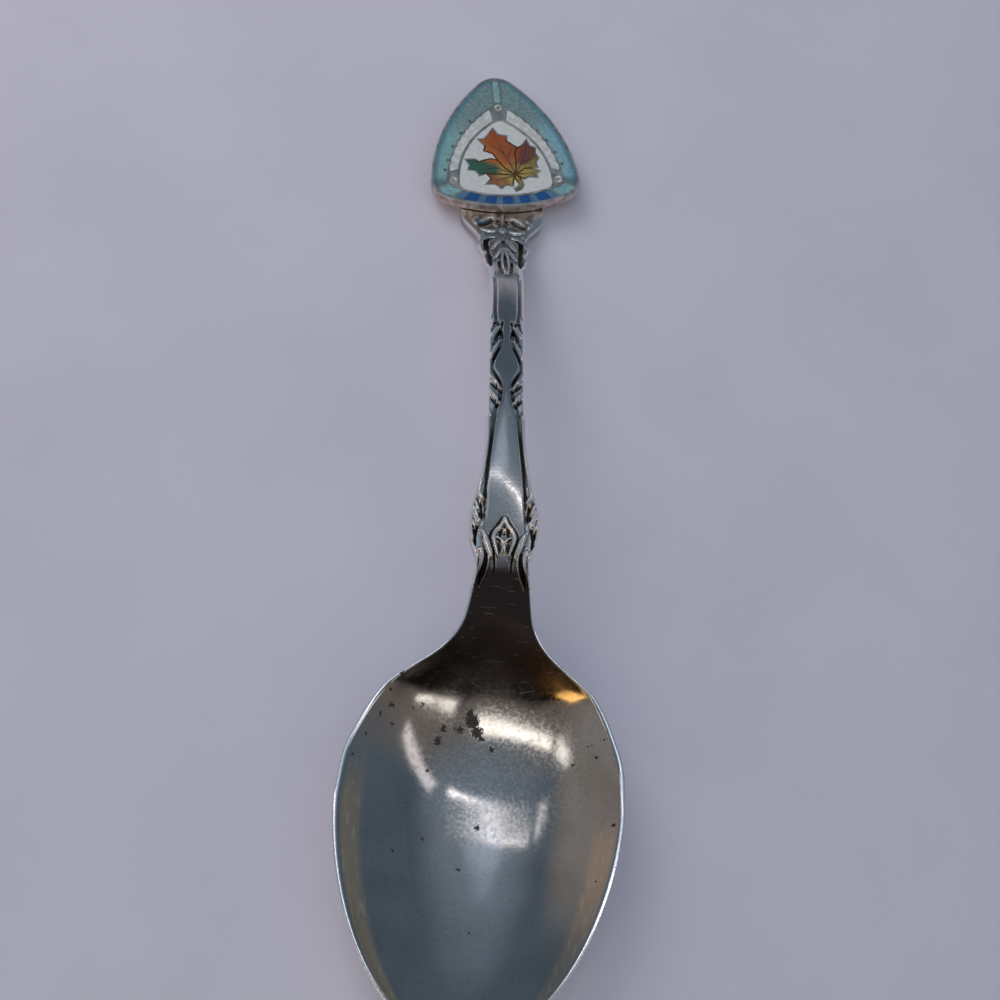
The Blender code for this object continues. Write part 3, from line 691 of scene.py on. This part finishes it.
def bowl_spots(look):
    """1 in the corrosion spots, which have ragged edges."""
    ragged = look.times(look.math("SUBTRACT", look.noise(5, 8), 0.5), SPOT_WANDER)
    spots = 0.0
    for x, station, radius in SPOTS:
        reach = look.math("ADD", look.away(x, TIP + station), ragged)
        spots = look.most(spots, look.rise(reach, radius, 0.7 * radius))
    return spots


def bowl_scratches(look):
    """1 on the scratches: broken arcs, and short straight marks in several directions."""
    broken = look.rise(look.noise(0.55, 2), 0.5, 0.62)
    marks = 0.0
    for x, station, radius in SCRATCHES:
        aside = look.math("ABSOLUTE", look.math("SUBTRACT", look.away(x, TIP + station), radius))
        marks = look.most(marks, look.rise(aside, SCRATCH_HALF_WIDTH, 0))
    marks = look.times(marks, broken)
    for turn in (20, -35, 70, -78):
        mark = look.noise(2.6, 1, stretch=(0.14, 3.6, 1), turn=turn)
        marks = look.most(marks, look.times(look.rise(mark, 0.74, 0.78), 0.5))
    return marks


def silver_look():
    """Worn silver of the bowl and stem, tarnished in its recesses and in spots, with a near-black neck that
    is partly tarnish and partly painted dark reflection.
    """
    look = Look("spoon_silver_worn", metallic=1.0)
    station = look.math("SUBTRACT", look.part(look.here, 1), TIP)
    side = look.part(look.here, 0)
    fine = look.noise(2.2, 6)
    broad = look.noise(0.12, 3)
    across = look.attribute("across")
    upper = look.attribute("upper")
    recess = look.attribute("recess")
    wear = look.attribute("wear")
    in_bowl = look.times(look.rise(station, 35, 30), upper)

    colour = look.mix(look.rise(broad, 0.35, 0.7), POLISHED, FILM)
    colour = look.mix(look.times(look.rise(fine, 0.5, 0.75), 0.35), colour, (0.3, 0.29, 0.27))
    worn_middle = look.times(look.rise(look.away(2, TIP + 25), 11, 5), in_bowl)
    mottle = look.times(look.rise(look.noise(3.5, 9), 0.38, 0.68), worn_middle)
    colour = look.mix(look.times(mottle, 0.3), colour, (0.75, 0.75, 0.74))

    band = look.times(look.rise(across, 0.79, 0.86), look.rise(across, 0.97, 0.94))
    reach = look.times(look.rise(side, -2, -5), look.rise(station, 27, 19))
    other_reach = look.times(look.rise(side, 2, 5), look.rise(station, 20.5, 17))
    reach = look.most(reach, look.times(other_reach, 0.45))
    band = look.times(look.times(band, reach), upper)
    colour = look.mix(look.times(band, 0.8), colour, GOLDEN)
    streaks = look.rise(look.noise(2.2, 4, stretch=(1, 0.22, 1), turn=-8), 0.55, 0.68)
    colour = look.mix(look.times(look.times(band, streaks), 0.8), colour, GOLD_STREAK)

    # Shoulder and neck of the bowl: brown tarnish, then a near-black film that is partly tarnish and partly
    # painted shade for the dark it reflects, kept off the worn high places
    wander = look.times(look.math("SUBTRACT", look.noise(0.35, 4), 0.5), 5)
    place = look.math("ADD", station, wander)
    inside = look.times(upper, look.rise(across, 0.985, 0.93))
    shoulder = look.times(look.rise(place, 29.5, 33), inside)
    shoulder = look.times(shoulder, look.rise(station, 42.6, 41))
    colour = look.mix(look.times(shoulder, 0.8), colour, BROWN)
    neck = look.times(look.times(look.rise(place, 30.5, 34.5), look.rise(station, 43.4, 41)), inside)
    neck = look.times(neck, look.rise(wear, 0.9, 0.2))
    colour = look.mix(look.times(neck, 0.95), colour, NECK_TARNISH_AND_PAINTED_SHADE)

    sunk = look.rise(look.math("ADD", recess, look.times(look.math("SUBTRACT", fine, 0.5), 0.35)), 0.3, 0.9)
    colour = look.mix(look.times(sunk, 0.6), colour, BROWN)
    colour = look.mix(look.times(look.rise(recess, 0.6, 1), 0.8), colour, BLACK)
    stem = look.rise(station, 41, 44)
    colour = look.mix(look.times(look.rise(wear, 0.25, 0.8), stem), colour, BRIGHT)
    colour = look.mix(look.rise(across, 0.975, 0.99), colour, BRIGHT)
    rim = look.times(look.times(look.rise(across, 0.72, 0.82), stem), look.rise(recess, 0.6, 0.2))
    colour = look.mix(look.times(rim, 0.8), colour, BRIGHT)

    specks = look.times(look.rise(look.cells(0.55), 0.1, 0.06), in_bowl)
    specks = look.times(specks, look.rise(look.noise(0.3, 1), 0.56, 0.62))
    spots = look.times(look.most(bowl_spots(look), specks), upper)
    colour = look.mix(look.times(spots, 0.88), colour, BLACK)
    marks = look.times(bowl_scratches(look), upper)
    look.colour(look.mix(look.times(marks, 0.3), colour, BRIGHT))

    grain = look.times(look.rise(station, 44, 46.5), look.rise(station, 53, 49))
    grain = look.times(grain, look.rise(look.noise(7, 2), 0.45, 0.6))
    rough = look.math("ADD", 0.1, look.times(look.rise(fine, 0.4, 0.75), 0.06))
    rough = look.math("ADD", rough, look.times(neck, 0.3))
    rough = look.math("ADD", rough, look.times(look.most(grain, look.times(mottle, 0.4)), 0.14))
    rough = look.math("ADD", rough, look.times(look.most(spots, look.times(sunk, 0.7)), 0.35))
    rough = look.math("ADD", rough, look.times(marks, 0.2))
    look.roughness(look.math("ADD", rough, look.times(look.rise(upper, 1, 0), 0.08)))
    height = look.math("SUBTRACT", look.noise(4, 5), look.times(spots, 0.8))
    look.bump(height, 0.06, 0.02)
    return look.material


LEAF_MIDDLE = (0.1, -0.9)
LEAF_REACH = 3.5


def plaque_look():
    """Silver of the plaque: grey wires between the enamels, gilt in the leaf, and a warm edge."""
    look = Look("plaque_silver_worn", metallic=1.0)
    low = look.rise(look.part(look.here, 2), PLAQUE_TOP - 0.05, PLAQUE_TOP - 0.5)
    blotch = look.rise(look.noise(0.9, 4), 0.4, 0.65)
    colour = look.mix(blotch, (0.78, 0.75, 0.69), (0.5, 0.48, 0.42))
    colour = look.mix(low, colour, look.mix(blotch, (0.8, 0.66, 0.6), (0.42, 0.32, 0.27)))
    x, v = finial_place(look)
    aside = look.math("SUBTRACT", x, LEAF_MIDDLE[0])
    above = look.math("SUBTRACT", v, LEAF_MIDDLE[1])
    reach = look.length(aside, above)
    colour = look.mix(look.rise(reach, LEAF_REACH, LEAF_REACH - 0.4), colour, (0.33, 0.17, 0.05))
    look.colour(colour)
    look.roughness(look.math("ADD", 0.42, look.times(blotch, 0.15)))
    look.bump(look.noise(6, 4), 0.3, 0.02)
    return look.material


def solder_look():
    look = Look("solder_dull", metallic=1.0)
    blotch = look.rise(look.noise(1.2, 4), 0.4, 0.65)
    look.colour(look.mix(blotch, (0.3, 0.28, 0.25), (0.07, 0.05, 0.04)))
    look.roughness(look.math("ADD", 0.4, look.times(blotch, 0.2)))
    look.bump(look.noise(5, 4), 0.4, 0.03)
    return look.material


def finial_place(look):
    """(x, v) of every point in the finial's own plane, as two sockets."""
    moved = look.vector("SUBTRACT", look.here, tuple(FINIAL_CENTRE))
    inputs = {"Vector": moved, "Center": (0, 0, 0), "Angle": -FINIAL_TURN}
    turned = look.add("ShaderNodeVectorRotate", inputs, rotation_type="Z_AXIS").outputs[0]
    return look.part(turned, 0), look.part(turned, 1)


def enamel(name):
    return Look(name, roughness=0.3, coat=0.6)


def finish_enamel(look, colour, mottle=0.12):
    """Fine pits and a slow change of tone, common to every enamel."""
    tone = look.times(look.rise(look.noise(1.8, 4), 0.4, 0.7), mottle)
    look.colour(look.mix(tone, colour, (0.1, 0.12, 0.12)))
    look.bump(look.noise(3.0, 3), 0.12, 0.03)
    return look.material


def border_look():
    """Pale blue, darker along the outer edge, going over to stippled grey-green near the apex."""
    look = enamel("border_enamel")
    x, v = finial_place(look)
    left = look.rise(x, 0.5, -0.5)
    x = look.math("ABSOLUTE", x)
    centre = side_centre(PLAQUE_CORNERS[0], PLAQUE_CORNERS[1], PLAQUE_SIDES[0])
    dx = look.math("SUBTRACT", x, centre[0])
    dv = look.math("SUBTRACT", v, centre[1])
    reach = look.length(dx, dv)
    depth = look.math("SUBTRACT", PLAQUE_SIDES[0], reach)
    edge = look.rise(depth, 0.95, 0.5)
    stipple = look.rise(look.noise(3.2, 4), 0.42, 0.6)
    inner = look.rise(depth, 1.5, 2.4)
    pale = look.mix(left, (0.3, 0.56, 0.64), (0.29, 0.56, 0.55))
    colour = look.mix(inner, pale, (0.36, 0.52, 0.5))
    apex = look.mix(stipple, (0.27, 0.42, 0.42), (0.2, 0.31, 0.31))
    colour = look.mix(look.rise(v, 2.5, 6.0), colour, apex)
    colour = look.mix(look.times(edge, 0.75), colour, (0.08, 0.28, 0.37))
    corner = look.rise(v, -2.6, -3.8)
    colour = look.mix(look.times(corner, 0.7), colour, (0.07, 0.12, 0.13))
    return finish_enamel(look, colour, 0.25)


def white_look(name, grey):
    """White, with a greyish net of the given strength."""
    look = enamel(name)
    net = look.times(look.rise(look.cells(1.5), 0.3, 0.62), grey)
    return finish_enamel(look, look.mix(net, (0.9, 0.93, 0.9), (0.45, 0.49, 0.45)), 0.1)


def plain_enamel(name, colour, shade):
    look = enamel(name)
    return finish_enamel(look, look.mix(look.rise(look.noise(0.9, 3), 0.4, 0.7), colour, shade))


FIRST_TIP = (0.05, 0.2, 0.09)
# (turn round the leaf's base at which a colour begins, turn at which it is full, colour), in degrees from +x
LEAF_TIPS = (
    (-2, 10, (0.3, 0.26, 0.05)),
    (38, 54, (0.2, 0.055, 0.035)),
    (70, 88, (0.45, 0.1, 0.012)),
    (112, 130, (0.55, 0.16, 0.02)),
    (141, 156, (0.03, 0.15, 0.09)),
)
LAST_TIP = (0.36, 0.14, 0.04)


def leaf_look():
    """Gold near the leaf's base, and green, olive, brown-red, orange, dark green and brown tips."""
    look = enamel("leaf_enamel")
    x, v = finial_place(look)
    dx = look.math("SUBTRACT", x, LEAF_BASE[0])
    dv = look.math("SUBTRACT", v, LEAF_BASE[1])
    reach = look.length(dx, dv)
    turn = look.times(look.math("ARCTAN2", dv, dx), 180 / math.pi)
    wander = look.times(look.math("SUBTRACT", look.noise(1.2, 3), 0.5), 24)
    turn = look.math("ADD", turn, wander)
    tip = FIRST_TIP
    for low, high, colour in LEAF_TIPS:
        tip = look.mix(look.rise(turn, low, high), tip, colour)
    below = look.most(look.rise(turn, 174, 182), look.rise(turn, -100, -112))
    tip = look.mix(below, tip, LAST_TIP)
    gold = look.mix(look.rise(look.noise(1.5, 3), 0.4, 0.65), (0.55, 0.4, 0.1), (0.42, 0.27, 0.06))
    shade = look.math("ADD", reach, look.times(look.math("SUBTRACT", look.noise(0.9, 3), 0.5), 2.5))
    return finish_enamel(look, look.mix(look.rise(shade, 0.9, 2.5), gold, tip), 0.2)


def floor_look():
    """Plain pale lilac paper with a faint mottle."""
    look = Look("paper", roughness=0.7)
    mottle = look.rise(look.noise(0.05, 5), 0.35, 0.7)
    look.colour(look.mix(mottle, (0.87, 0.85, 0.95), (0.83, 0.81, 0.91)))
    look.bump(look.noise(0.5, 6), 0.25, 0.12)
    return look.material


def set_material(node, material):
    node.data.materials.clear()
    node.data.materials.append(material)


ENAMEL_ROUNDING = 0.06
PLAQUE_ROUNDING = 0.03
BEVEL_ANGLE = math.radians(50)


def rounded(node, width):
    """Softens the node's sharp edges without changing its mesh."""
    bevel = node.modifiers.new("soft edges", "BEVEL")
    bevel.width = width * MM
    bevel.segments = 2
    bevel.limit_method = "ANGLE"
    bevel.angle_limit = BEVEL_ANGLE
    bevel.harden_normals = True


def dress_nodes():
    """Materials and soft edges for every CAD node that stays in view."""
    white_ground = white_look("ground_enamel", 0.1)
    white_band = white_look("band_enamel", 0.4)
    border = border_look()
    leaf = leaf_look()
    pale = plain_enamel("pale_enamel", (0.34, 0.62, 0.64), (0.24, 0.46, 0.5))
    royal = plain_enamel("royal_enamel", (0.004, 0.11, 0.36), (0.003, 0.07, 0.27))
    sky = plain_enamel("sky_enamel", (0.1, 0.26, 0.42), (0.06, 0.19, 0.34))
    rosette = white_look("rosette_enamel", 1.0)
    looks = {
        "border": border,
        "white": white_band,
        "leaf_ground": white_ground,
        "leaf": leaf,
        "scroll": pale,
        "apex": pale,
        "rosette": rosette,
        "name_cell": royal,
        "name": sky,
    }
    for name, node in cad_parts.items():
        if name == "finial_plaque":
            set_material(node, plaque_look())
            rounded(node, PLAQUE_ROUNDING)
        elif name == "solder_seam":
            set_material(node, solder_look())
        elif name != "spoon_body":
            kind = next(kind for kind in looks if name.startswith(kind))
            set_material(node, looks[kind])
            rounded(node, ENAMEL_ROUNDING)


# Veins of the leaf from its base, as (x, v) points
VEINS = (
    ((1.15, -2.6), (0.75, -1.3), (0.0, 0.5), (-0.5, 2.0), (-0.85, 3.3)),
    ((0.2, 0.1), (-0.9, 1.2), (-2.0, 2.1)),
    ((0.45, -0.4), (0.85, 0.5), (1.15, 1.2)),
    ((1.3, -2.5), (2.1, -0.9), (2.6, 0.4), (2.85, 1.7)),
    ((1.9, -1.3), (2.8, -0.7), (3.6, -0.4)),
    ((1.05, -2.7), (-0.7, -1.9), (-2.4, -1.3), (-3.9, -0.8)),
    ((-1.2, -1.75), (-2.2, -2.0), (-3.1, -2.1)),
    ((1.5, -2.75), (2.4, -2.6), (3.3, -2.6)),
    ((0.9, -3.0), (-0.2, -3.3), (-1.3, -3.5)),
)
# Dark beads along the border's inner side, right and left
BORDER_BEADS = (
    (4.3, 3.6), (5.3, 2.15), (6.1, 0.4), (6.7, -1.3),
    (-3.5, 5.0), (-4.7, 3.3), (-5.8, 1.4), (-6.5, -0.6), (-6.9, -2.0),
)


VEIN_RADIUS = 0.07
GROUND_WIRE_RADIUS = 0.1
RING_WIRE_RADIUS = 0.09
BEAD_RADIUS = 0.2
ROSETTE_BEAD_HEIGHT = 0.12
BORDER_BEAD_HEIGHT = 0.08


def finial_pieces():
    """The raised wires, veins and beads, as (piece, material slot, material)."""
    grey = plaque_look()
    vein = plain_enamel("vein_enamel", (0.13, 0.06, 0.03), (0.07, 0.04, 0.03))
    dot = plain_enamel("bead_enamel", (0.13, 0.2, 0.2), (0.08, 0.13, 0.14))
    turns = np.linspace(0, 2 * math.pi, ROSETTE_STEPS + 1)[:-1]
    ring = [(ROSETTE_RADIUS * math.cos(turn), ROSETTE_RADIUS * math.sin(turn)) for turn in turns]
    centres = []
    for turn in map(math.radians, ROSETTE_ANGLES):
        centres.append((ROSETTE_CIRCLE * math.cos(turn), ROSETTE_CIRCLE * math.sin(turn)))
    rings = [[(x + cx, v + cv) for x, v in ring] for cx, cv in centres]
    outline = bulged_triangle(GROUND_CORNERS, GROUND_SIDES, -WIRE)
    return (
        (wire("leaf_veins", VEINS, VEIN_RADIUS, taper=True), "leaf_stem_brown", vein),
        (wire("ground_wire", [outline], GROUND_WIRE_RADIUS, closed=True), "plaque_silver", grey),
        (wire("rosette_rings", rings, RING_WIRE_RADIUS, closed=True), "plaque_silver", grey),
        (beads("rosette_beads", centres, BEAD_RADIUS, ROSETTE_BEAD_HEIGHT), "plaque_silver", grey),
        (beads("border_beads", BORDER_BEADS, BEAD_RADIUS, BORDER_BEAD_HEIGHT), "border_turquoise", dot),
    )


# Lights: rectangles at one height. Their ends, from LIGHT_CENTRE, and their widths are multiples of it.
LIGHT_HEIGHT = 0.6
LIGHT_CENTRE = Vector((0.0, TIP + 26, 0.0)) * MM
STRIP_COLOUR = (1.0, 0.95, 0.9)
COOL_COLOUR = (1.0, 0.93, 0.95)
WARM_COLOUR = (1.0, 0.55, 0.16)
# (name, one end, other end, width, radiance, colour)
STRIPS = (
    ("front_strip_right", (1.62, -1.36), (0.5, -0.98), 0.16, 2.2, STRIP_COLOUR),
    ("front_strip_middle", (0.18, -0.78), (-0.9, -0.63), 0.14, 3.0, STRIP_COLOUR),
    ("front_strip_left", (-1.02, -0.63), (-1.3, -0.5), 0.24, 1.8, STRIP_COLOUR),
    ("overhead_strip_right", (0.37, -0.085), (0.27, -0.057), 0.065, 3.6, COOL_COLOUR),
    ("overhead_strip_middle", (0.27, -0.057), (0.1, -0.01), 0.036, 3.6, COOL_COLOUR),
    ("overhead_strip_centre", (0.1, -0.01), (-0.08, 0.04), 0.02, 3.6, COOL_COLOUR),
    ("overhead_strip_left", (-0.08, 0.04), (-0.58, 0.11), 0.02, 3.6, COOL_COLOUR),
    ("overhead_strip_end", (-0.68, 0.1), (-0.85, 0.05), 0.045, 1.8, COOL_COLOUR),
    ("side_strip", (1.66, -0.88), (0.62, -0.1), 0.18, 1.1, COOL_COLOUR),
)
# A light that is hidden from reflections, so that it brightens only the floor and the enamel
ROOM_LIGHT_PLACE = Vector((-0.15, 0.2, 0.22))
ROOM_LIGHT_SIZE = 0.2
ROOM_LIGHT_RADIANCE = 2.0
LAMP_DISTANCE = 1.0
LAMP_SIZE = 0.2
LAMP_AZIMUTH = math.radians(-138)  # from +Y towards +X
LAMP_ELEVATION = math.radians(19)
LAMP_RADIANCE = 3.0


def area_light(name, size, radiance, colour):
    data = bpy.data.lights.new(name, "AREA")
    data.shape = "RECTANGLE"
    data.size, data.size_y = size
    data.energy = radiance * math.pi * size[0] * size[1]
    data.color = colour
    return new_object(name, data)


def add_lights():
    for name, start, end, width, radiance, colour in STRIPS:
        start, end = Vector((*start, 1)), Vector((*end, 1))
        along = end - start
        size = (along.length * LIGHT_HEIGHT, width * LIGHT_HEIGHT)
        light = area_light(name, size, radiance, colour)
        light.location = LIGHT_CENTRE + (start + end) / 2 * LIGHT_HEIGHT
        light.rotation_euler.z = math.atan2(along.y, along.x)
    room = area_light("room_light", (ROOM_LIGHT_SIZE, ROOM_LIGHT_SIZE), ROOM_LIGHT_RADIANCE, COOL_COLOUR)
    room.location = ROOM_LIGHT_PLACE
    room.rotation_euler = ROOM_LIGHT_PLACE.to_track_quat("Z", "Y").to_euler()
    room.visible_glossy = False
    lamp = area_light("warm_lamp", (LAMP_SIZE, LAMP_SIZE), LAMP_RADIANCE, WARM_COLOUR)
    level = math.cos(LAMP_ELEVATION)
    east, north = math.sin(LAMP_AZIMUTH) * level, math.cos(LAMP_AZIMUTH) * level
    towards = Vector((east, north, math.sin(LAMP_ELEVATION)))
    lamp.location = LIGHT_CENTRE + towards * LAMP_DISTANCE
    lamp.rotation_euler = towards.to_track_quat("Z", "Y").to_euler()


# Surroundings
ZENITH = (0.24, 0.3, 0.38)
GLOW = (0.5, 0.6, 0.76)
GLOW_TOWARDS = Vector((-0.06, 0.14, 1.0)).normalized()
BACK = (0.11, 0.15, 0.2)
WARM_SIDE = (0.31, 0.285, 0.275)
FRONT = (0.21, 0.18, 0.165)
DARK = (0.012, 0.009, 0.009)
HORIZON = (0.42, 0.41, 0.48)


def add_surroundings():
    """A dim room: blue-grey behind, warmer on the left, dark low in front, and pale at the horizon."""
    world = bpy.data.worlds.new("room")
    bpy.context.scene.world = world
    world.use_nodes = True
    sky = Nodes(world.node_tree)
    towards = sky.add("ShaderNodeTexCoord").outputs["Generated"]
    x, y, z = sky.add("ShaderNodeSeparateXYZ", {0: towards}).outputs
    glow = sky.add("ShaderNodeVectorMath", {0: towards, 1: GLOW_TOWARDS}, operation="DOT_PRODUCT")
    colour = sky.mix(sky.rise(y, -0.1, -0.5), BACK, FRONT)
    colour = sky.mix(sky.times(sky.rise(x, -0.62, -0.85), sky.rise(y, 0.6, 0.3)), colour, WARM_SIDE)
    colour = sky.mix(sky.rise(z, 0.68, 0.98), colour, ZENITH)
    colour = sky.mix(sky.rise(glow.outputs["Value"], 0.97, 1.0), colour, GLOW)
    colour = sky.mix(sky.times(sky.rise(y, -0.62, -0.71), sky.rise(z, 0.72, 0.62)), colour, DARK)
    colour = sky.mix(sky.rise(z, 0.03, -0.02), colour, HORIZON)
    sky.tree.links.new(colour, sky.tree.nodes["Background"].inputs["Color"])


FLOOR_SIZE = 3.0


def add_floor():
    form = bmesh.new()
    bmesh.ops.create_grid(form, x_segments=1, y_segments=1, size=FLOOR_SIZE / 2)
    mesh = bpy.data.meshes.new("floor")
    form.to_mesh(mesh)
    form.free()
    mesh.materials.append(floor_look())
    floor = new_object("floor", mesh)


bpy.context.scene.view_settings.view_transform = "Standard"
add_camera()
add_lights()
add_surroundings()
add_floor()
dress_nodes()

body = spoon_body()
body.data.materials.append(silver_look())
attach(body, "root")
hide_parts("spoon_body")
for piece, slot, material in finial_pieces():
    piece.data.materials.append(material)
    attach(piece, "root")
